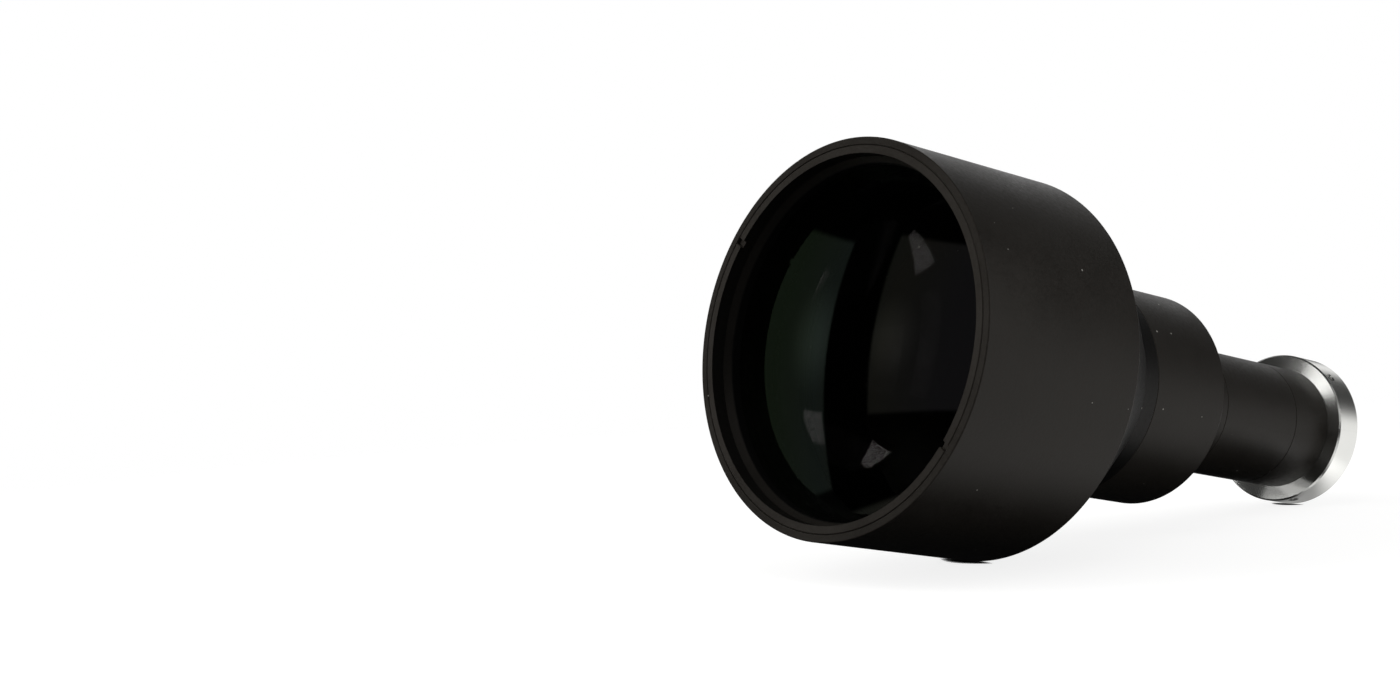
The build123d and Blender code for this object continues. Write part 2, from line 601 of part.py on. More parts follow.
def parts():
    """Every piece of the lens by its node name."""
    return {
        "front_barrel": front_barrel(),
        "front_retaining_ring": front_retaining_ring(),
        "front_pressure_ring": front_pressure_ring(),
        "front_crown": front_glass(CROWN_FRONT, FRONT_CROWN_EDGE, FRONT_CURVE, FRONT_CEMENT_CURVE),
        "front_flint": front_glass(
            FLINT_FRONT, FRONT_FLINT_EDGE, FRONT_CEMENT_CURVE, FRONT_FLINT_CURVE
        ),
        "front_spacer": ring(
            FRONT_LENS_RADIUS, FRONT_CLEAR_RADIUS, SPACER_FRONT, MENISCUS_FRONT
        ),
        "front_meniscus": front_glass(MENISCUS_FRONT, FRONT_MENISCUS_EDGE, *FRONT_MENISCUS_CURVES),
        "front_baffle": ring(
            MIDDLE_SPIGOT_RADIUS, FRONT_BAFFLE_OPENING, FRONT_BAFFLE_FRONT, MIDDLE_SPIGOT_FRONT
        ),
        "middle_barrel": middle_barrel(),
        "middle_baffle": ring(
            NECK_SPIGOT_RADIUS, MIDDLE_BAFFLE_OPENING, MIDDLE_BAFFLE_FRONT, NECK_SPIGOT_FRONT
        ),
        "rear_barrel": rear_barrel(),
        "end_tube": end_tube(),
        "lens_cell": lens_cell(),
        "aperture_stop": aperture_stop(),
        "stop_retaining_ring": stop_retaining_ring(),
        "rear_meniscus": rear_glass(REAR_MENISCUS_FRONT, REAR_MENISCUS_EDGE, *REAR_MENISCUS_CURVES),
        "rear_spacer_1": rear_spacer(REAR_SPACER_1_FRONT, REAR_SPACER_1_LENGTH),
        "rear_crown": rear_glass(
            REAR_CROWN_FRONT, REAR_CROWN_EDGE, REAR_DOUBLET_CURVES[0], REAR_DOUBLET_CURVES[1]
        ),
        "rear_flint": rear_glass(
            REAR_FLINT_FRONT, REAR_FLINT_EDGE, REAR_DOUBLET_CURVES[1], REAR_DOUBLET_CURVES[2]
        ),
        "rear_spacer_2": rear_spacer(REAR_SPACER_2_FRONT, REAR_SPACER_2_LENGTH),
        "rear_singlet": rear_glass(REAR_SINGLET_FRONT, REAR_SINGLET_EDGE, *REAR_SINGLET_CURVES),
        "rear_spacer_3": rear_spacer(REAR_SPACER_3_FRONT, REAR_SPACER_3_LENGTH),
        "field_lens": rear_glass(FIELD_LENS_FRONT, FIELD_LENS_EDGE, *FIELD_LENS_CURVES),
        "rear_retaining_ring": rear_retaining_ring(),
        "adapter_ring": adapter_ring(),
        "adapter_set_screws": set_screws(),
        "bayonet_plate": bayonet_plate(),
        "bayonet_screws": plate_screws(),
    }


os.makedirs("parts", exist_ok=True)
for name, shape in parts().items():
    export_step(shape, f"parts/{name}.step")
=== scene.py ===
import math

import bpy
import numpy as np
from mathutils import Matrix, Vector


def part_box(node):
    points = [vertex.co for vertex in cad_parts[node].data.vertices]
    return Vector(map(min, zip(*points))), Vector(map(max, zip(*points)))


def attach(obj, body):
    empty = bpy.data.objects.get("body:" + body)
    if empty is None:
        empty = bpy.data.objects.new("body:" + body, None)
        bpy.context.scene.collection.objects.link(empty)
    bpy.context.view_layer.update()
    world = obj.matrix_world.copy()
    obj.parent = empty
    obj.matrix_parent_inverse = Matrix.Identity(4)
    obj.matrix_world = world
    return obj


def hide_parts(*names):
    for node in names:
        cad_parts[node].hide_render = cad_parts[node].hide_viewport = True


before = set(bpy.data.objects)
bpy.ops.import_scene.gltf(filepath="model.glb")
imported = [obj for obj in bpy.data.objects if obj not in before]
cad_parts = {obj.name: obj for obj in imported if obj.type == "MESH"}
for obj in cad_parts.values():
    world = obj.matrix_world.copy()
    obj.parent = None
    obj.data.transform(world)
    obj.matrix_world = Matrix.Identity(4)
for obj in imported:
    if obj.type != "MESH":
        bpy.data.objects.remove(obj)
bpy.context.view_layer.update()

# Telecentric lens: black anodised barrels, coated glass and a turned silver adapter ring.
# The optical axis is Y, the front glass faces -Y and the camera flange is at y = 0.
# Depths are millimetres behind the front rim and radii are millimetres, as in the part's source.

MM = 0.001
FLANGE = -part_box("front_barrel")[0].y / MM

# The frame holds single-precision numbers, so its sizes are read to a micrometre. The reflections
# in the glass change with the last digits of those numbers.
PLACES = 3


def outer(node):
    """Outer radius of a node."""
    return round(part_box(node)[1].x / MM, PLACES)


def start(node):
    """Depth at which a node starts."""
    return round(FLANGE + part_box(node)[0].y / MM, PLACES)


def end(node):
    """Depth at which a node ends."""
    return round(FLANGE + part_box(node)[1].y / MM, PLACES)


# Depths of the seams, spigots and seats, from the frame
GLASS_FRONT = end("front_pressure_ring")
FRONT_SEAT = end("front_meniscus")
FRONT_BAFFLE_FRONT = start("front_baffle")
MIDDLE_SPIGOT_FRONT = start("middle_barrel")
FRONT_SEAM = end("front_barrel")
MIDDLE_BAFFLE_FRONT = start("middle_baffle")
NECK_SPIGOT_FRONT = start("rear_barrel")
NECK_SEAM = end("middle_barrel")
CELL_FRONT = start("lens_cell")
END_SPIGOT_FRONT = start("end_tube")
REAR_SEAM = end("rear_barrel")
CELL_REAR = end("lens_cell")
ADAPTER_FRONT = start("adapter_ring")
ADAPTER_SPIGOT_REAR = end("end_tube")
ADAPTER_REAR = end("adapter_ring")

# Depths of the corners of the two cones
HOOD_END = 77.0
HOOD_CONE_END = 119.0
MIDDLE_END = 166.0
MIDDLE_CONE_END = 188.0

# Outer radii, from the frame
HOOD_RADIUS = outer("front_barrel")
MIDDLE_RADIUS = outer("middle_barrel")
REAR_RADIUS = outer("rear_barrel")
RING_RADIUS = outer("adapter_ring")
GLASS_RADIUS = outer("front_crown")
MIDDLE_SPIGOT = outer("front_baffle")
NECK_SPIGOT = outer("middle_baffle")

# Front group: its bores, seat and clear radius, each a gap or a width from a neighbour
THREAD_GAP = 0.1
LENS_GAP = 0.3
SEAT_WIDTH = 3.0
GLASS_LAND = 2.5
FRONT_RING_WIDTH = 3.1
THREAD_RADIUS = outer("front_retaining_ring") + THREAD_GAP
FRONT_RING_BORE = THREAD_RADIUS - FRONT_RING_WIDTH
LENS_BORE_RADIUS = GLASS_RADIUS + LENS_GAP
SEAT_RADIUS = LENS_BORE_RADIUS - SEAT_WIDTH
CLEAR_RADIUS = GLASS_RADIUS - GLASS_LAND
COUNTERBORE = GLASS_FRONT + LENS_GAP

# Bores of the barrels, each a wall or a ledge in from the radius outside it
HOOD_CONE_WALL = 7.5
MIDDLE_CONE_WALL = 9.4
FRONT_THROAT_WALL = 5.5
MIDDLE_WALL = 7.0
MIDDLE_THROAT_WALL = 4.5
REAR_ENTRY_WALL = 6.0
REAR_WALL = 4.9
CELL_LEDGE = 2.8
FRONT_THROAT = MIDDLE_RADIUS - FRONT_THROAT_WALL
MIDDLE_BORE = MIDDLE_RADIUS - MIDDLE_WALL
MIDDLE_THROAT = REAR_RADIUS - MIDDLE_THROAT_WALL
REAR_ENTRY = REAR_RADIUS - REAR_ENTRY_WALL
REAR_BORE = REAR_RADIUS - REAR_WALL
END_THROAT = outer("lens_cell") - CELL_LEDGE

# Free depth in front of the end tube's spigot
JOINT_RELIEF = 1.0

# End tube's spigot in the silver ring, and the groove that the set screws clamp
SPIGOT_SHARE = 0.42
ADAPTER_SPIGOT = END_THROAT + SPIGOT_SHARE * (RING_RADIUS - END_THROAT)
SET_SCREW_DEPTH = 3.6
GROOVE_WIDTH = 4.4
GROOVE_DEPTH = 1.0
GROOVE_FRONT = ADAPTER_FRONT + SET_SCREW_DEPTH - GROOVE_WIDTH / 2
GROOVE_REAR = GROOVE_FRONT + GROOVE_WIDTH

# Front group: thicknesses at the edge, and radii of the front and rear curves, positive where
# the centre lies towards the flange
CROWN_EDGE = 6.0
FLINT_EDGE = 13.0
MENISCUS_EDGE = 6.0
CROWN_CURVES = (230.0, -190.0)
FLINT_CURVES = (-190.0, -620.0)
MENISCUS_CURVES = (400.0, 900.0)
MENISCUS_SEEN_CURVE = -75.0

# Broken edges, and the longest share of a side that a round may take
INNER_CORNER = 0.05
EDGE_ROUND = 0.2
SEAM_ROUND = 0.35
GROOVE_ROUND = 0.35
RIM_ROUND = 0.5
GLASS_BEVEL = 0.15
LONGEST_CUT = 0.45

# Steps of the turned surfaces
AROUND = 360
ARC_STEPS = 5
GLASS_STEPS = 56


# Shader helpers

class Number:
    """A number that changes over a surface. Sums, products and powers of it add Math nodes."""

    def __init__(self, finish, socket):
        self.finish = finish
        self.socket = socket

    def _with(self, operation, first, second):
        node = self.finish.node("ShaderNodeMath", {"operation": operation}, {0: first, 1: second})
        return Number(self.finish, node.outputs[0])

    def __add__(self, other):
        return self._with("ADD", self, other)

    __radd__ = __add__

    def __sub__(self, other):
        return self._with("SUBTRACT", self, other)

    def __rsub__(self, other):
        return self._with("SUBTRACT", other, self)

    def __mul__(self, other):
        return self._with("MULTIPLY", self, other)

    __rmul__ = __mul__

    def __pow__(self, other):
        return self._with("POWER", self, other)

    def __rpow__(self, other):
        return self._with("POWER", other, self)

    def least(self, other):
        """The smaller of two numbers."""
        return self._with("MINIMUM", self, other)

    def most(self, other):
        """The larger of two numbers."""
        return self._with("MAXIMUM", self, other)

    def ramp(self, low, high, at_low=0.0, at_high=1.0):
        """Smooth step from one value to another between two limits."""
        node = self.finish.node(
            "ShaderNodeMapRange",
            {"interpolation_type": "SMOOTHSTEP", "clamp": True},
            {"Value": self, "From Min": low, "From Max": high, "To Min": at_low, "To Max": at_high},
        )
        return Number(self.finish, node.outputs["Result"])


class Finish:
    """Node tree of one material or of the world, and the only place that adds nodes to it."""

    def __init__(self, owner):
        owner.use_nodes = True
        self.owner = owner
        self.tree = owner.node_tree
        self.tree.nodes.clear()

    def node(self, kind, settings=None, sockets=None):
        """Adds a node, then sets its settings, then the values or links of its sockets."""
        made = self.tree.nodes.new(kind)
        for name, value in (settings or {}).items():
            if name == "stops":
                stops = made.color_ramp.elements
                while len(stops) < len(value):
                    stops.new(0.5)
                for stop, (place, colour) in zip(stops, value):
                    stop.position = place
                    stop.color = colour
            else:
                setattr(made, name, value)
        for name, value in (sockets or {}).items():
            if isinstance(value, Number):
                value = value.socket
            if isinstance(value, bpy.types.NodeSocket):
                self.tree.links.new(value, made.inputs[name])
            else:
                made.inputs[name].default_value = value
        return made

    def number(self, socket):
        return Number(self, socket)

    def mix(self, factor, first, second):
        """Colour between two colours."""
        node = self.node("ShaderNodeMix", {"data_type": "RGBA"}, {"Factor": factor})
        for slot, value in ((6, first), (7, second)):
            if isinstance(value, bpy.types.NodeSocket):
                self.tree.links.new(value, node.inputs[slot])
            else:
                node.inputs[slot].default_value = (*value, 1.0)
        return node.outputs[2]

    def place(self):
        """Object coordinates, their parts and the distance from the optical axis, in metres."""
        where = self.node("ShaderNodeTexCoord").outputs["Object"]
        parts = self.node("ShaderNodeSeparateXYZ", {}, {"Vector": where})
        x, y, z = (self.number(part) for part in parts.outputs)
        return where, x, y, z, (x * x + z * z) ** 0.5

    def noise(self, scale, detail=2.0, roughness=0.5):
        """Cloudy value about 0.5 from solid noise."""
        where = self.node("ShaderNodeTexCoord").outputs["Object"]
        node = self.node(
            "ShaderNodeTexNoise",
            {},
            {"Vector": where, "Scale": scale, "Detail": detail, "Roughness": roughness},
        )
        return self.number(node.outputs["Fac"])

    def turned_lines(self, scale, detail=2.0):
        """Noise that changes along the profile only, as the marks of a lathe tool do."""
        _, _, y, _, radius = self.place()
        node = self.node(
            "ShaderNodeTexNoise",
            {"noise_dimensions": "1D"},
            {"W": y - radius, "Scale": scale, "Detail": detail},
        )
        return self.number(node.outputs["Fac"])

    def bump(self, height, distance, before=None):
        """Normal that leans with a height, on top of an earlier bump where there is one."""
        sockets = {"Height": height, "Distance": distance, "Strength": 1.0}
        if before is not None:
            sockets["Normal"] = before
        return self.node("ShaderNodeBump", {}, sockets).outputs["Normal"]

    def show(self, shader, kind="ShaderNodeOutputMaterial"):
        """Ends the tree in its output and gives back the material or world."""
        self.node(kind, {}, {"Surface": shader})
        return self.owner


def material(name):
    return Finish(bpy.data.materials.new(name))


# Finishes

# Scales of the patterns, in cells to the metre
CLOUD_SCALE = 38.0
GRAIN_SCALE = 700.0
LATHE_SCALE = 2600.0
DUST_SCALE = 170.0
SOOT_SCALE = 80.0
BAFFLE_SCALE = 1500.0
TURNING_SCALE = 5200.0
SHEEN_SCALE = 140.0
WEAR_SCALE = 900.0
SMEAR_SCALE = 24.0
TABLE_SCALE = 6.0

# Heights of the marks that the bumps show, in metres
LATHE_HEIGHT = 0.0000012
GRAIN_HEIGHT = 0.00004
BAFFLE_HEIGHT = 0.000004

# Black dye: the near-black painted shade that it takes in a bore, and its dark and pale tints in
# the open as shares of a shade
BORE_PAINTED_SHADE = (0.003, 0.003, 0.003)
DARK_DYE = (0.80, 0.70, 0.58)
PALE_DYE = (1.36, 1.22, 1.06)
DYE_SPECULAR = (1.0, 0.94, 0.87, 1.0)
DYE_IOR = 1.25

# Stretch over which the painted shade of a bore runs out, in metres
BORE_SHADE_FADE = 0.0003

# Dust: the share of its cells that hold only a tiny speck, the growth of the specks in the
# others, and the soft edge of a speck
DUST_GREY = (0.36, 0.35, 0.32)
DUST_FREE = 0.76
DUST_GROWTH = 0.30
DUST_EDGE = (-0.012, 0.006)

# Bright metals, and the slopes that the flanks of their tool marks lean by
SILVER = (0.83, 0.83, 0.80)
SILVER_SLOPES = (-0.42, -0.2, 0.0, 0.2, 0.42)
STEEL = (0.70, 0.70, 0.68)
STEEL_SLOPES = (-0.12, 0.12)
SCREW_DARK = (0.16, 0.16, 0.155)
SCREW_BRIGHT = (0.42, 0.41, 0.40)

# Coatings: the tint from head on to a slant, and the share of the light that a face mirrors
GREEN_COAT = (
    (0.16, (0.50, 0.48, 0.52)),
    (0.25, (0.57, 0.57, 0.46)),
    (0.355, (0.39, 0.53, 0.45)),
    (0.41, (0.365, 0.52, 0.355)),
    (0.455, (0.33, 0.52, 0.29)),
)
ROSE_COAT = ((0.0, (0.95, 0.80, 0.88)), (1.0, (1.0, 0.96, 0.99)))
GREEN_MIRROR = 0.16
ROSE_MIRROR = 0.045
CEMENT_MIRROR = 0.0
CLEAR_GLASS = (0.93, 0.94, 0.93, 1.0)


def shade_of(shade, tint):
    return tuple(shade * part for part in tint)


def black_anodised(name, shade=0.0175, roughness=0.42, bore=None):
    """Satin black anodised aluminium: bead-fine grain, faint lathe marks, cloudy dye and dust.
    Inside a bore's radius it is painted near-black as painted shade in the bore, which runs out
    just outside it."""
    f = material(name)
    where, _, _, _, radius = f.place()
    clouds = f.noise(CLOUD_SCALE, 4.0, roughness=0.6)
    grains = f.noise(GRAIN_SCALE, 3.0, roughness=0.75)
    lines = f.turned_lines(LATHE_SCALE, 3.0)
    cells = f.node(
        "ShaderNodeTexVoronoi",
        {"feature": "F1"},
        {"Vector": where, "Scale": DUST_SCALE, "Randomness": 1.0},
    )
    cell_colour = f.node("ShaderNodeSeparateColor", {}, {"Color": cells.outputs["Color"]})
    size = (f.number(cell_colour.outputs[0]) - DUST_FREE).most(0.0) * DUST_GROWTH
    dust = (size - f.number(cells.outputs["Distance"])).ramp(*DUST_EDGE)
    tone = ((clouds - 0.5) * 1.5 + (grains - 0.5) * 1.1 + 0.5).most(0.0).least(1.0)
    dyed = f.mix(tone, shade_of(shade, DARK_DYE), shade_of(shade, PALE_DYE))
    # Painted shade: inside the bore's radius the colour is near-black
    outside_painted_shade = radius.ramp(bore * MM, bore * MM + BORE_SHADE_FADE) if bore else 1.0
    colour = f.mix(dust, f.mix(outside_painted_shade, BORE_PAINTED_SHADE, dyed), DUST_GREY)
    rough = roughness + (clouds - 0.5) * 0.2 + (grains - 0.5) * 0.35 + (lines - 0.5) * 0.06
    shader = f.node(
        "ShaderNodeBsdfPrincipled",
        {},
        {
            "Base Color": colour,
            "Roughness": rough + dust * 0.3,
            "Normal": f.bump(lines, LATHE_HEIGHT, f.bump(grains, GRAIN_HEIGHT)),
            "IOR": DYE_IOR,
            "Specular Tint": DYE_SPECULAR,
        },
    )
    return f.show(shader.outputs[0])


def matt_black(name, shade=0.004, roughness=0.75):
    """Blackened inside walls that swallow light, with faint baffle grooves."""
    f = material(name)
    clouds = f.noise(SOOT_SCALE, 3.0)
    lines = f.turned_lines(BAFFLE_SCALE, 2.0)
    colour = f.mix(clouds, (shade * 0.7,) * 3, (shade * 1.3,) * 3)
    shader = f.node(
        "ShaderNodeBsdfPrincipled",
        {},
        {
            "Base Color": colour,
            "Roughness": roughness + (clouds - 0.5) * 0.1,
            "Normal": f.bump(lines, BAFFLE_HEIGHT),
            "Specular IOR Level": 0.2,
        },
    )
    return f.show(shader.outputs[0])


def turned_metal(name, shade, roughness, slopes):
    """Bright turned metal. Its tool marks are rings round the axis whose flanks lean in and out,
    so the face mirrors as several metals at once, each leaning by one slope along the radius. A
    cylinder has no such lean, as its radius is the same all over."""
    f = material(name)
    radius = f.place()[4]
    marks = f.turned_lines(TURNING_SCALE, 3.0)
    clouds = f.noise(SHEEN_SCALE, 3.0)
    colour = f.mix(clouds * 0.6 + marks * 0.4, shade_of(0.9, shade), shade)
    rough = roughness + (clouds - 0.5) * 0.06 + (marks - 0.5) * 0.08
    whole = None
    for count, slope in enumerate(slopes, 1):
        leaning = {
            "Base Color": colour,
            "Metallic": 1.0,
            "Roughness": rough,
            "Normal": f.bump(radius * slope, 1.0),
        }
        metal = f.node("ShaderNodeBsdfPrincipled", {}, leaning).outputs[0]
        if whole is None:
            whole = metal
        else:
            both = {0: 1.0 / count, 1: whole, 2: metal}
            whole = f.node("ShaderNodeMixShader", {}, both).outputs[0]
    return f.show(whole)


def screw_steel(name):
    """Blackened steel of the small screws, worn brighter in patches."""
    f = material(name)
    clouds = f.noise(WEAR_SCALE, 3.0)
    worn = {
        "Base Color": f.mix(clouds, SCREW_DARK, SCREW_BRIGHT),
        "Metallic": 1.0,
        "Roughness": 0.3 + (clouds - 0.5) * 0.15,
    }
    return f.show(f.node("ShaderNodeBsdfPrincipled", {}, worn).outputs[0])


def coated_glass(name, mirrored, tints):
    """Glass with an anti-reflection coating. It lets most light through, and its front face
    mirrors a share of it whose tint goes from one colour head on to others at a slant."""
    f = material(name)
    slant = f.node("ShaderNodeLayerWeight", {}, {"Blend": 0.5}).outputs["Facing"]
    smear = f.noise(SMEAR_SCALE, 3.0)
    stops = [(place, (*colour, 1.0)) for place, colour in tints]
    tint = f.node("ShaderNodeValToRGB", {"stops": stops}, {"Fac": slant}).outputs["Color"]
    inside = f.number(f.node("ShaderNodeNewGeometry").outputs["Backfacing"])
    share = (1 - inside) * mirrored * (0.92 + smear * 0.16)
    polished = {"Base Color": tint, "Metallic": 1.0, "Roughness": 0.0}
    mirror = f.node("ShaderNodeBsdfPrincipled", {}, polished).outputs[0]
    through = f.node("ShaderNodeBsdfTransparent", {}, {"Color": CLEAR_GLASS}).outputs[0]
    both = f.node("ShaderNodeMixShader", {}, {0: share, 1: through, 2: mirror})
    return f.show(both.outputs[0])


# Turned surfaces

def rounded(corners):
    """Closed half profile with its corners rounded. Each corner (radius, depth, round) becomes an
    arc that touches both of its sides: it starts the round times the tangent of half the turn
    before the corner, its centre stands off that point by its radius, and the outward normal turns
    evenly from one side's to the next one's."""
    corners = np.array(corners)
    here, rounds = corners[:, :2], corners[:, 2]
    onward = np.roll(here, -1, axis=0)
    side = np.sign((here[:, 0] * onward[:, 1] - onward[:, 0] * here[:, 1]).sum())
    long_after = np.linalg.norm(onward - here, axis=1)
    after = (onward - here) / long_after[:, None]
    long_before = np.roll(long_after, 1)
    before = np.roll(after, 1, axis=0)
    crossed = before[:, 0] * after[:, 1] - before[:, 1] * after[:, 0]
    turn = np.arctan2(crossed, (before * after).sum(axis=1))
    half = np.abs(np.tan(turn / 2))
    cut = np.minimum(rounds * half, LONGEST_CUT * np.minimum(long_before, long_after))
    arc = np.sign(turn) * side * cut / half
    normal = side * np.stack([before[:, 1], -before[:, 0]], 1)
    centre = here - before * cut[:, None] - normal * arc[:, None]
    angle = turn[:, None] * np.linspace(0, 1, ARC_STEPS)
    c, s = np.cos(angle), np.sin(angle)
    along, down = normal[:, :1], normal[:, 1:]
    normals = np.stack([c * along - s * down, s * along + c * down], 2)
    points = centre[:, None] + normals * arc[:, None, None]
    return points.reshape(-1, 2), normals.reshape(-1, 2)


def lens_face(land, curve, outwards):
    """Spherical face from the axis to the clear radius. Its depth is the land's, plus the fall
    curve - sqrt(curve^2 - radius^2), less the fall at the clear radius."""
    radius = np.linspace(0, CLEAR_RADIUS, GLASS_STEPS)
    root = math.copysign(1, curve) * np.sqrt(curve * curve - radius * radius)
    fall = curve - root
    normal = outwards * np.stack([-radius / root, np.ones(GLASS_STEPS)], 1)
    points = np.stack([radius, land - fall[-1] + fall], 1)
    return points, normal / np.linalg.norm(normal, axis=1)[:, None]


def lens_outline(front, thickness, curves, seen_curve=None):
    """Half profile of a lens from the front pole to the rear pole: two spherical faces, joined by
    flat lands and a ground edge. A face that lies behind strong glass mirrors like a deeper one,
    so its normals may be those of the curve that it is seen with."""
    rear = front + thickness
    front_points, front_normals = lens_face(front, curves[0], -1.0)
    rear_points, rear_normals = lens_face(rear, curves[1], 1.0)
    if seen_curve:
        slope = front_points[:, 0] / seen_curve
        front_normals = np.stack([slope, -np.sqrt(1 - slope * slope)], 1)
    edge = np.array([
        (CLEAR_RADIUS + GLASS_BEVEL, front),
        (GLASS_RADIUS - GLASS_BEVEL, front),
        (GLASS_RADIUS, front + GLASS_BEVEL),
        (GLASS_RADIUS, rear - GLASS_BEVEL),
        (GLASS_RADIUS - GLASS_BEVEL, rear),
        (CLEAR_RADIUS + GLASS_BEVEL, rear),
    ])
    edge_normals = np.array([(0, -1), (0, -1), (1, 0), (1, 0), (0, 1), (0, 1)])
    points = np.concatenate([front_points, edge, rear_points[::-1]])
    normals = np.concatenate([front_normals, edge_normals, rear_normals[::-1]])
    return points, normals


def carried_round(pairs):
    """Pairs (radius, depth) carried round the axis: (radius sin u, depth, radius cos u)."""
    turn = np.linspace(0, 2 * math.pi, AROUND, endpoint=False)
    radius, depth = pairs[:, :1], pairs[:, 1:]
    grid = [radius * np.sin(turn), np.repeat(depth, AROUND, axis=1), radius * np.cos(turn)]
    return np.stack(grid, 2).reshape(-1, 3)


def turned_faces(rows, closed):
    """Quads between each ring of a turned surface and the next. A closed profile goes on from its
    last ring to the first. An open one has a fan of triangles at each end, round a pole that is
    numbered after the rings."""
    here = np.arange(AROUND)
    following = np.roll(here, -1)
    first = np.arange(rows if closed else rows - 1)[:, None] * AROUND
    second = (first + AROUND) % (rows * AROUND)
    quads = [first + here, first + following, second + following, second + here]
    quads = np.stack(quads, 2).reshape(-1, 4)
    if closed:
        return quads, np.empty((0, 3), int)
    last = (rows - 1) * AROUND
    front_pole = np.full(AROUND, rows * AROUND)
    rear_pole = front_pole + 1
    front_fan = np.stack([front_pole, following, here], 1)
    rear_fan = np.stack([last + here, last + following, rear_pole], 1)
    return quads, np.concatenate([front_fan, rear_fan])


def turned_piece(name, outline, closed, nodes, finish):
    """Surface of revolution (u, v) -> (r(v) sin u, depth(v) - flange, r(v) cos u): the half
    profile carried round the optical axis, with the profile's own normals turned with it. The
    end points of an open profile lie on the axis and become poles."""
    points, normals = outline
    points = points - (0.0, FLANGE)
    rings = slice(None) if closed else slice(1, -1)
    places = carried_round(points[rings]) * MM
    directions = carried_round(normals[rings])
    if not closed:
        poles = [(0.0, points[0, 1] * MM, 0.0), (0.0, points[-1, 1] * MM, 0.0)]
        places = np.concatenate([places, poles])
        directions = np.concatenate([directions, [(0.0, -1.0, 0.0), (0.0, 1.0, 0.0)]])
    quads, fans = turned_faces(len(points[rings]), closed)
    middle = quads[len(quads) // 2]
    a, b, c = places[middle[:3]]
    if np.cross(b - a, c - b) @ directions[middle[0]] < 0:
        quads, fans = quads[:, ::-1], fans[:, ::-1]
    mesh = bpy.data.meshes.new(name)
    mesh.from_pydata(places.tolist(), [], quads.tolist() + fans.tolist())
    mesh.polygons.foreach_set("use_smooth", [True] * len(mesh.polygons))
    mesh.normals_split_custom_set_from_vertices(directions.tolist())
    mesh.update()
    mesh.materials.append(finish)
    piece = bpy.data.objects.new(name, mesh)
    bpy.context.scene.collection.objects.link(piece)
    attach(piece, "root")
    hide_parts(*nodes)


def inner_cone(start_depth, end_depth, start_radius, end_radius, wall, radius):
    """Depth at which the inside of a conical wall has a radius."""
    slope = (start_radius - end_radius) / (end_depth - start_depth)
    return start_depth + (start_radius - wall - radius) / slope


def front_barrel_outline():
    """Hood, cone and short land, bored for the front group."""
    cone = (HOOD_END, HOOD_CONE_END, HOOD_RADIUS, MIDDLE_RADIUS, HOOD_CONE_WALL)
    socket = MIDDLE_SPIGOT + THREAD_GAP
    return rounded([
        (THREAD_RADIUS, 0, GROOVE_ROUND),
        (HOOD_RADIUS, 0, RIM_ROUND),
        (HOOD_RADIUS, HOOD_END, EDGE_ROUND),
        (MIDDLE_RADIUS, HOOD_CONE_END, EDGE_ROUND),
        (MIDDLE_RADIUS, FRONT_SEAM, SEAM_ROUND),
        (socket, FRONT_SEAM, EDGE_ROUND),
        (socket, FRONT_BAFFLE_FRONT, EDGE_ROUND),
        (FRONT_THROAT, FRONT_BAFFLE_FRONT, EDGE_ROUND),
        (FRONT_THROAT, inner_cone(*cone, FRONT_THROAT), EDGE_ROUND),
        (SEAT_RADIUS, inner_cone(*cone, SEAT_RADIUS), EDGE_ROUND),
        (SEAT_RADIUS, FRONT_SEAT, EDGE_ROUND),
        (LENS_BORE_RADIUS, FRONT_SEAT, INNER_CORNER),
        (LENS_BORE_RADIUS, COUNTERBORE, EDGE_ROUND),
        (THREAD_RADIUS, COUNTERBORE, INNER_CORNER),
    ])


def middle_barrel_outline():
    """Spigot in the front barrel, long land, cone and neck."""
    cone = (MIDDLE_END, MIDDLE_CONE_END, MIDDLE_RADIUS, REAR_RADIUS, MIDDLE_CONE_WALL)
    socket = NECK_SPIGOT + THREAD_GAP
    return rounded([
        (MIDDLE_BORE, MIDDLE_SPIGOT_FRONT, EDGE_ROUND),
        (MIDDLE_SPIGOT, MIDDLE_SPIGOT_FRONT, EDGE_ROUND),
        (MIDDLE_SPIGOT, FRONT_SEAM, INNER_CORNER),
        (MIDDLE_RADIUS, FRONT_SEAM, SEAM_ROUND),
        (MIDDLE_RADIUS, MIDDLE_END, EDGE_ROUND),
        (REAR_RADIUS, MIDDLE_CONE_END, EDGE_ROUND),
        (REAR_RADIUS, NECK_SEAM, SEAM_ROUND),
        (socket, NECK_SEAM, EDGE_ROUND),
        (socket, MIDDLE_BAFFLE_FRONT, INNER_CORNER),
        (MIDDLE_THROAT, MIDDLE_BAFFLE_FRONT, EDGE_ROUND),
        (MIDDLE_THROAT, inner_cone(*cone, MIDDLE_THROAT), EDGE_ROUND),
        (MIDDLE_BORE, inner_cone(*cone, MIDDLE_BORE), EDGE_ROUND),
    ])


def rear_barrel_outline():
    """Slim barrel, with a spigot in front and a socket for the end tube."""
    socket = NECK_SPIGOT + THREAD_GAP
    relief = END_SPIGOT_FRONT - JOINT_RELIEF
    return rounded([
        (REAR_ENTRY, NECK_SPIGOT_FRONT, EDGE_ROUND),
        (NECK_SPIGOT, NECK_SPIGOT_FRONT, EDGE_ROUND),
        (NECK_SPIGOT, NECK_SEAM, INNER_CORNER),
        (REAR_RADIUS, NECK_SEAM, SEAM_ROUND),
        (REAR_RADIUS, REAR_SEAM, SEAM_ROUND),
        (socket, REAR_SEAM, EDGE_ROUND),
        (socket, relief, INNER_CORNER),
        (REAR_BORE, relief, EDGE_ROUND),
        (REAR_BORE, CELL_FRONT, INNER_CORNER),
        (REAR_ENTRY, CELL_FRONT, EDGE_ROUND),
    ])


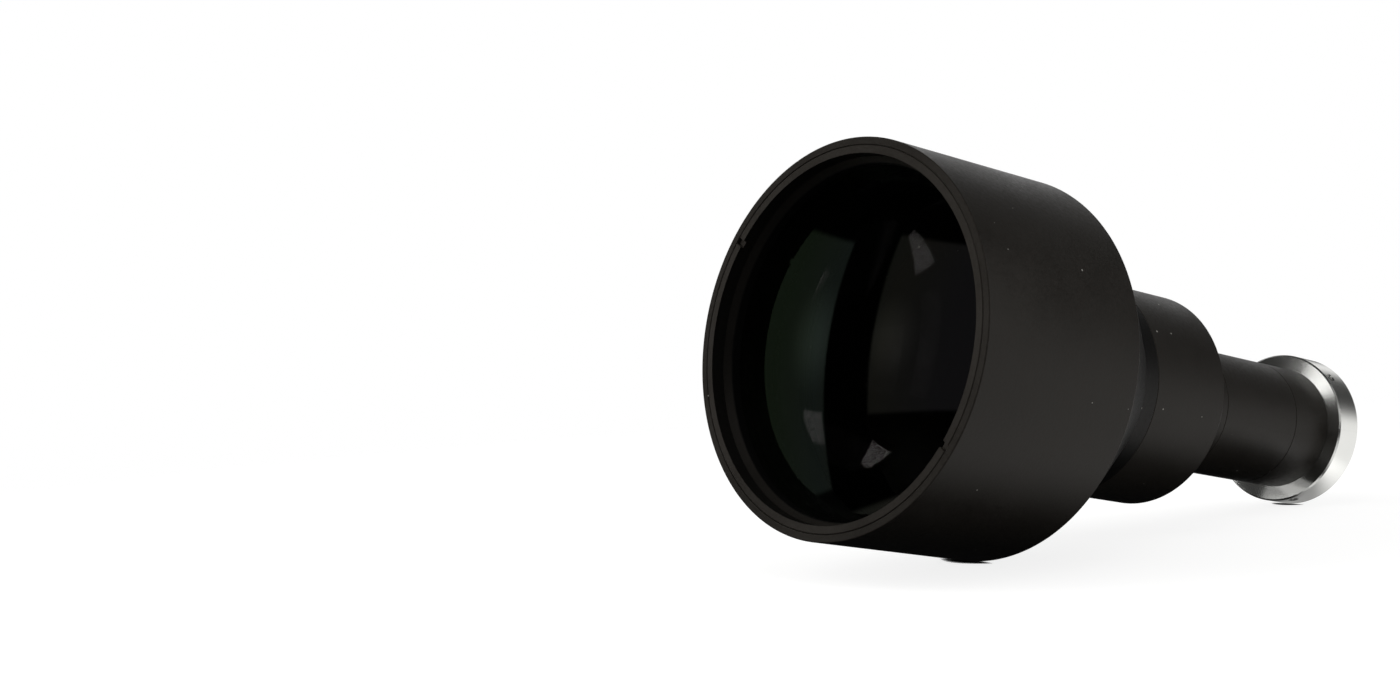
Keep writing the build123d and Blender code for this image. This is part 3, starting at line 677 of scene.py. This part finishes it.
def end_tube_outline():
    """Last stretch of the barrel and its spigot in the silver ring, with the clamp groove."""
    floor = ADAPTER_SPIGOT - GROOVE_DEPTH
    return rounded([
        (REAR_BORE, END_SPIGOT_FRONT, EDGE_ROUND),
        (NECK_SPIGOT, END_SPIGOT_FRONT, EDGE_ROUND),
        (NECK_SPIGOT, REAR_SEAM, INNER_CORNER),
        (REAR_RADIUS, REAR_SEAM, SEAM_ROUND),
        (REAR_RADIUS, ADAPTER_FRONT, EDGE_ROUND),
        (ADAPTER_SPIGOT, ADAPTER_FRONT, INNER_CORNER),
        (ADAPTER_SPIGOT, GROOVE_FRONT, EDGE_ROUND),
        (floor, GROOVE_FRONT, INNER_CORNER),
        (floor, GROOVE_REAR, INNER_CORNER),
        (ADAPTER_SPIGOT, GROOVE_REAR, EDGE_ROUND),
        (ADAPTER_SPIGOT, ADAPTER_SPIGOT_REAR, EDGE_ROUND),
        (END_THROAT, ADAPTER_SPIGOT_REAR, EDGE_ROUND),
        (END_THROAT, CELL_REAR, EDGE_ROUND),
        (REAR_BORE, CELL_REAR, INNER_CORNER),
    ])


# Pieces of the lens

# Radii inside which the hood, the front ring and the ledge are painted near-black, as painted shade
# in the bore
HOOD_PAINTED_SHADE = THREAD_RADIUS - 0.6
FRONT_RING_PAINTED_SHADE = FRONT_RING_BORE - 0.1
LEDGE_PAINTED_SHADE = CLEAR_RADIUS + 0.1


def barrels():
    """The four turned black pieces, with their corners rounded."""
    barrel = black_anodised("black_anodised_barrel")
    hood = black_anodised("black_anodised_hood", bore=HOOD_PAINTED_SHADE)
    pieces = (
        ("front_barrel", front_barrel_outline(), hood),
        ("middle_barrel", middle_barrel_outline(), barrel),
        ("rear_barrel", rear_barrel_outline(), barrel),
        ("end_tube", end_tube_outline(), barrel),
    )
    for node, outline, finish in pieces:
        turned_piece(f"{node}_turned", outline, True, [node], finish)


def front_group(rose, cement):
    """The three elements behind the front rim, with faces fine enough to mirror cleanly."""
    green = coated_glass("green_coated_glass", GREEN_MIRROR, GREEN_COAT)
    crown = lens_outline(GLASS_FRONT, CROWN_EDGE, CROWN_CURVES)
    flint = lens_outline(GLASS_FRONT + CROWN_EDGE, FLINT_EDGE, FLINT_CURVES)
    meniscus_front = FRONT_SEAT - MENISCUS_EDGE
    meniscus = lens_outline(meniscus_front, MENISCUS_EDGE, MENISCUS_CURVES, MENISCUS_SEEN_CURVE)
    turned_piece("front_crown_glass", crown, False, ["front_crown"], green)
    turned_piece("front_flint_glass", flint, False, ["front_flint"], cement)
    turned_piece("front_meniscus_glass", meniscus, False, ["front_meniscus"], rose)


def finish_solids(rose, cement):
    """Finishes of the nodes that keep their own mesh. What is not named here is matt black."""
    face = black_anodised("black_anodised_ring", 0.021, 0.40, FRONT_RING_PAINTED_SHADE)
    ledge = black_anodised("black_anodised_ledge", 0.010, 0.45, LEDGE_PAINTED_SHADE)
    silver = turned_metal("turned_silver_ring", SILVER, 0.19, SILVER_SLOPES)
    steel = turned_metal("bayonet_steel", STEEL, 0.2, STEEL_SLOPES)
    screws = screw_steel("screw_steel")
    inside = matt_black("matt_black_inside")
    finishes = {
        "front_retaining_ring": face,
        "front_pressure_ring": ledge,
        "adapter_ring": silver,
        "adapter_set_screws": screws,
        "bayonet_plate": steel,
        "bayonet_screws": screws,
        "rear_meniscus": rose,
        "rear_crown": rose,
        "rear_flint": cement,
        "rear_singlet": rose,
        "field_lens": rose,
    }
    for name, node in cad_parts.items():
        if node.hide_render:
            continue
        for slot in node.material_slots:
            slot.material = finishes.get(name, inside)


def dress():
    """Every piece and finish of the lens."""
    rose = coated_glass("rose_coated_glass", ROSE_MIRROR, ROSE_COAT)
    cement = coated_glass("cemented_glass", CEMENT_MIRROR, ROSE_COAT)
    barrels()
    front_group(rose, cement)
    finish_solids(rose, cement)


# Camera

# Place in metres, the directions of the camera's three axes, and the lens and sensor in mm
CAMERA_PLACE = (0.56315, -0.80280, -0.08051)
CAMERA_RIGHT = (0.64393974, 0.75726758, 0.10902948)
CAMERA_UP = (0.0, -0.14250799, 0.98979365)
CAMERA_BACK = (0.76507621, -0.63736746, -0.0917666)
CAMERA_LENS = 57.245
CAMERA_SENSOR = 36.0
CAMERA_CLIP = (0.05, 20.0)


def camera():
    """Camera at the photo's place. Its axes are the columns of its turn."""
    data = bpy.data.cameras.new("camera")
    data.lens = CAMERA_LENS
    data.sensor_width = CAMERA_SENSOR
    data.clip_start, data.clip_end = CAMERA_CLIP
    eye = bpy.data.objects.new("camera", data)
    turn = Matrix((CAMERA_RIGHT, CAMERA_UP, CAMERA_BACK)).transposed().to_4x4()
    eye.matrix_world = Matrix.Translation(CAMERA_PLACE) @ turn
    bpy.context.scene.collection.objects.link(eye)
    bpy.context.scene.camera = eye


# Table

# The lens lies on its hood's rear edge and its ring, so the table leans in this frame
LEAN = math.atan2(HOOD_RADIUS - RING_RADIUS, ADAPTER_REAR - HOOD_END)
UP = Vector((0.0, -math.sin(LEAN), math.cos(LEAN)))
TABLE_POINT = Vector((0.0, (HOOD_END - FLANGE) * MM, -HOOD_RADIUS * MM))
TABLE_RADIUS = 0.75
TABLE_CENTRE_Y = -0.12
TABLE_CORNERS = 96
FADE_START = 0.45
FADE_END = 0.97

# Tones: the two greys of the top, its glow to the camera, and the painted glow that it throws on
# the lens
TABLE_DARK = (0.28, 0.28, 0.275)
TABLE_PALE = (0.32, 0.32, 0.315)
TABLE_GLOW = 0.84
MATT_THROW = 0.42
MORE_TO_SHINY = 0.56
RING_THROW = 0.33
LEAST_THROW = 0.01

# Reach of the painted contact shadows, in metres
CONTACT_SHADOW_REACH = 0.0014


def table_finish():
    """White table top with painted contact shadows. The camera sees it lit and nearly white. What
    it throws on the lens is a painted glow, from the camera's side, weakly from the other one, and
    for shiny surfaces from a strip beneath the ring, with a painted shadow of the lens along it. It
    fades away at its rim, can be seen through from below, and shiny surfaces see past it at the
    front left."""
    f = material("white_table")
    path = f.node("ShaderNodeLightPath")
    seen = f.number(path.outputs["Is Camera Ray"])
    shiny = f.number(path.outputs["Is Glossy Ray"])
    below = f.number(f.node("ShaderNodeNewGeometry").outputs["Backfacing"])
    _, x, y, _, _ = f.place()
    # Painted contact shadow: ambient occlusion darkens the table's glow and colour where the lens
    # lies close above it
    near = f.node("ShaderNodeAmbientOcclusion", {"samples": 8}, {"Distance": CONTACT_SHADOW_REACH})
    clear_of_painted_shadow = f.number(near.outputs["AO"]).ramp(0.35, 0.95)
    grey = f.mix(f.noise(TABLE_SCALE, 2.0), TABLE_DARK, TABLE_PALE)
    matt = f.node("ShaderNodeBsdfDiffuse", {}, {"Color": f.mix(clear_of_painted_shadow, (0.0, 0.0, 0.0), grey)})
    glow = f.node("ShaderNodeEmission", {}, {"Color": clear_of_painted_shadow * TABLE_GLOW})
    lit = f.node("ShaderNodeAddShader", {}, {0: glow.outputs[0], 1: matt.outputs[0]})
    # Painted glow that the table throws on the lens, with a painted shadow of the lens: no glow
    # within this distance either side of the axis, narrowing from the hood to the ring and gone
    # behind it
    painted_shadow_width = y.ramp(-0.19, -0.03, 0.045, 0.03) * y.ramp(-0.015, 0.01, 1.0, 0.0)
    right = (x - painted_shadow_width).ramp(0.0, 0.04) * y.ramp(-0.36, -0.24)
    left = (-1 * x - painted_shadow_width).ramp(0.0, 0.04) * y.ramp(-0.02, 0.02, 0.15, 0.03)
    # Painted glow in a strip beneath the ring, for shiny surfaces
    under_ring = y.ramp(-0.010, -0.003) * y.ramp(0.012, 0.030, 1.0, 0.0) * RING_THROW
    sides = right.most(left) * (MATT_THROW + shiny * MORE_TO_SHINY)
    thrown = sides + under_ring * shiny + LEAST_THROW
    bounce = f.node("ShaderNodeEmission", {}, {"Color": thrown})
    top = f.node("ShaderNodeMixShader", {}, {0: seen, 1: bounce.outputs[0], 2: lit.outputs[0]})
    away = (x * x + (y - TABLE_CENTRE_Y) * (y - TABLE_CENTRE_Y)) ** 0.5
    rim = away.ramp(TABLE_RADIUS * FADE_START, TABLE_RADIUS * FADE_END)
    before_glass = (-1 * x).ramp(0.06, 0.09) * (-1 * y).ramp(0.13, 0.18)
    gone = (below + rim + shiny * before_glass).least(1.0)
    clear = f.node("ShaderNodeBsdfTransparent")
    shader = f.node("ShaderNodeMixShader", {}, {0: gone, 1: top.outputs[0], 2: clear.outputs[0]})
    return f.show(shader.outputs[0])


def table():
    """Round top under the lens: a circle whose height follows the leaning plane, so that it is
    level with the two places where the lens touches it."""
    turn = np.linspace(0, 2 * math.pi, TABLE_CORNERS, endpoint=False)
    x = TABLE_RADIUS * np.cos(turn)
    y = TABLE_CENTRE_Y + TABLE_RADIUS * np.sin(turn)
    z = TABLE_POINT.z + (y - TABLE_POINT.y) * math.tan(LEAN)
    mesh = bpy.data.meshes.new("table")
    mesh.from_pydata(np.stack([x, y, z], 1).tolist(), [], [list(range(TABLE_CORNERS))])
    mesh.materials.append(table_finish())
    top = bpy.data.objects.new("table", mesh)
    bpy.context.scene.collection.objects.link(top)


# Lamps

LENS_MIDDLE = Vector((0.0, -0.14, 0.0))
RING_MIDDLE = Vector((0.0, -0.005, -0.02))
GLASS_MIDDLE = Vector((0.0, -0.25, 0.0))


def from_glass(across, above, distance):
    """Place at a distance from the front glass, at an angle from -Y towards -X and a height
    above the axis."""
    a, e = math.radians(across), math.radians(above)
    way = Vector((-math.sin(a) * math.cos(e), -math.cos(a) * math.cos(e), math.sin(e)))
    return GLASS_MIDDLE + way * distance


def softbox(name, place, size, strength, matt=False, shiny=False, aim=LENS_MIDDLE):
    """Flat lamp that faces a place on the lens, for its matt surfaces, its shiny ones or both."""
    width, height = size
    data = bpy.data.lights.new(name, "AREA")
    data.shape = "RECTANGLE"
    data.size, data.size_y = width, height
    data.energy = strength * width * height * math.pi
    lamp = bpy.data.objects.new(name, data)
    lamp.location = place
    lamp.visible_camera = False
    lamp.visible_diffuse = matt
    lamp.visible_glossy = shiny
    lamp.rotation_mode = "QUATERNION"
    lamp.rotation_quaternion = (Vector(place) - aim).to_track_quat("Z", "Y")
    bpy.context.scene.collection.objects.link(lamp)


def matt_lamps():
    """Large soft lamps that light the matt surfaces. The shiny ones see the key as well."""
    softbox("side_softbox", from_glass(64, 3, 1.2), (0.62, 0.75), 3.6, matt=True)
    softbox("front_softbox", from_glass(25, 18, 1.2), (0.50, 0.95), 4.6, matt=True)
    softbox("top_softbox", from_glass(-20, 60, 1.1), (0.80, 0.50), 1.0, matt=True)
    softbox("right_softbox", from_glass(-135, 12, 1.2), (0.50, 0.80), 1.0, matt=True)
    softbox("key_softbox", from_glass(-46, 48, 1.0), (0.42, 0.34), 1.0, matt=True, shiny=True)


def shiny_lamps():
    """Small lamps that only the shiny surfaces see. Two of them face the silver ring."""
    ring_place = (-0.032, -0.190, 0.092)
    edge_place = (0.190, -0.205, 0.090)
    floor_place = (0.006, -0.024, -0.0315)
    softbox("high_softbox", from_glass(48, 48, 0.6), (0.17, 0.14), 1.5, shiny=True)
    softbox("ring_softbox", ring_place, (0.08, 0.08), 5.5, shiny=True, aim=RING_MIDDLE)
    softbox("edge_softbox", edge_place, (0.10, 0.10), 2.3, shiny=True)
    softbox("floor_card", floor_place, (0.05, 0.009), 1.2, shiny=True, aim=RING_MIDDLE)


# Surroundings

# Panels that the shiny surfaces see: left, right, low and high edges in degrees, then the glow
# about the lamp as its two angles, its reach and its extra brightness, then the strength
GREEN_PANEL = ((50.0, 76.0, -16.0, 20.5), (54.5, 6.1, 9.0, 1.5), 0.080)
OLIVE_PANEL = ((12.0, 39.0, -6.0, 23.0), (34.2, 6.4, 8.0, 1.3), 0.052)
FLOOR_PANEL = ((46.0, 76.0, -45.0, -24.0), (60.0, -30.0, 10.0, 0.0), 0.9)
CEILING = 0.04
DARKEST = 0.001

# Light that falls on matt surfaces from all around
EVEN_LIGHT = 0.45


def panel(across, above, edges, glow, strength):
    """Brightness of a flat panel light in the directions it fills: soft-edged, with a brighter
    middle about its lamp."""
    left, right, low, high = edges
    lamp_across, lamp_above, reach, extra = glow
    inside = across.ramp(left, left + 1.0) * across.ramp(right, right - 1.0, 0.0, 1.0)
    inside = inside * above.ramp(low, low + 1.0) * above.ramp(high, high - 1.0, 0.0, 1.0)
    off = ((across - lamp_across) ** 2 + (above - lamp_above) ** 2) ** 0.5
    return inside * (1 + off.ramp(reach, 0.0) * extra) * strength


def surroundings():
    """White behind the object. What shiny surfaces see is the lit backdrop low down behind the
    table, two dim panels to the front left, the floor before them and a dim ceiling in a dark
    room. Matt surfaces get an even light."""
    f = Finish(bpy.data.worlds.new("studio"))
    bpy.context.scene.world = f.owner
    path = f.node("ShaderNodeLightPath")
    where = f.node("ShaderNodeTexCoord").outputs["Generated"]
    parts = f.node("ShaderNodeSeparateXYZ", {}, {"Vector": where})
    x, y, z = (f.number(part) for part in parts.outputs)
    height = x * UP.x + y * UP.y + z * UP.z
    degree = 180 / math.pi
    sideways = f.node("ShaderNodeMath", {"operation": "ARCTAN2"}, {0: -1 * x, 1: -1 * y})
    upwards = f.node("ShaderNodeMath", {"operation": "ARCSINE"}, {0: z})
    across = f.number(sideways.outputs[0]) * degree
    above = f.number(upwards.outputs[0]) * degree
    backdrop = (height + x * 0.33).ramp(0.20, 0.40, 1.0, 0.02)
    backdrop = backdrop * y.ramp(0.1, 0.6) * y.ramp(0.86, 0.94, 1.0, 0.2)
    low_left = z.ramp(0.06, 0.26) * y.ramp(0.73, 0.83, 1.0, 0.0)
    backdrop = backdrop * x.ramp(-0.2, 0.1).most(low_left).most(z.ramp(0.22, 0.45))
    green_side = panel(across, above, *GREEN_PANEL)
    olive_side = panel(across, above, *OLIVE_PANEL)
    floor = panel(across, above, *FLOOR_PANEL)
    ceiling = above.ramp(44.0, 47.0) * CEILING
    mirrored = backdrop + green_side + olive_side + floor + ceiling + DARKEST
    seen = f.number(path.outputs["Is Camera Ray"])
    glossy = f.number(path.outputs["Is Glossy Ray"])
    glossy = glossy.most(f.number(path.outputs["Is Transmission Ray"]))
    light = seen + (1 - seen) * (glossy * mirrored + (1 - glossy) * EVEN_LIGHT)
    glow = f.node("ShaderNodeBackground", {}, {"Color": light})
    f.show(glow.outputs[0], "ShaderNodeOutputWorld")


dress()
camera()
table()
matt_lamps()
shiny_lamps()
surroundings()
bpy.context.scene.view_settings.view_transform = "Standard"
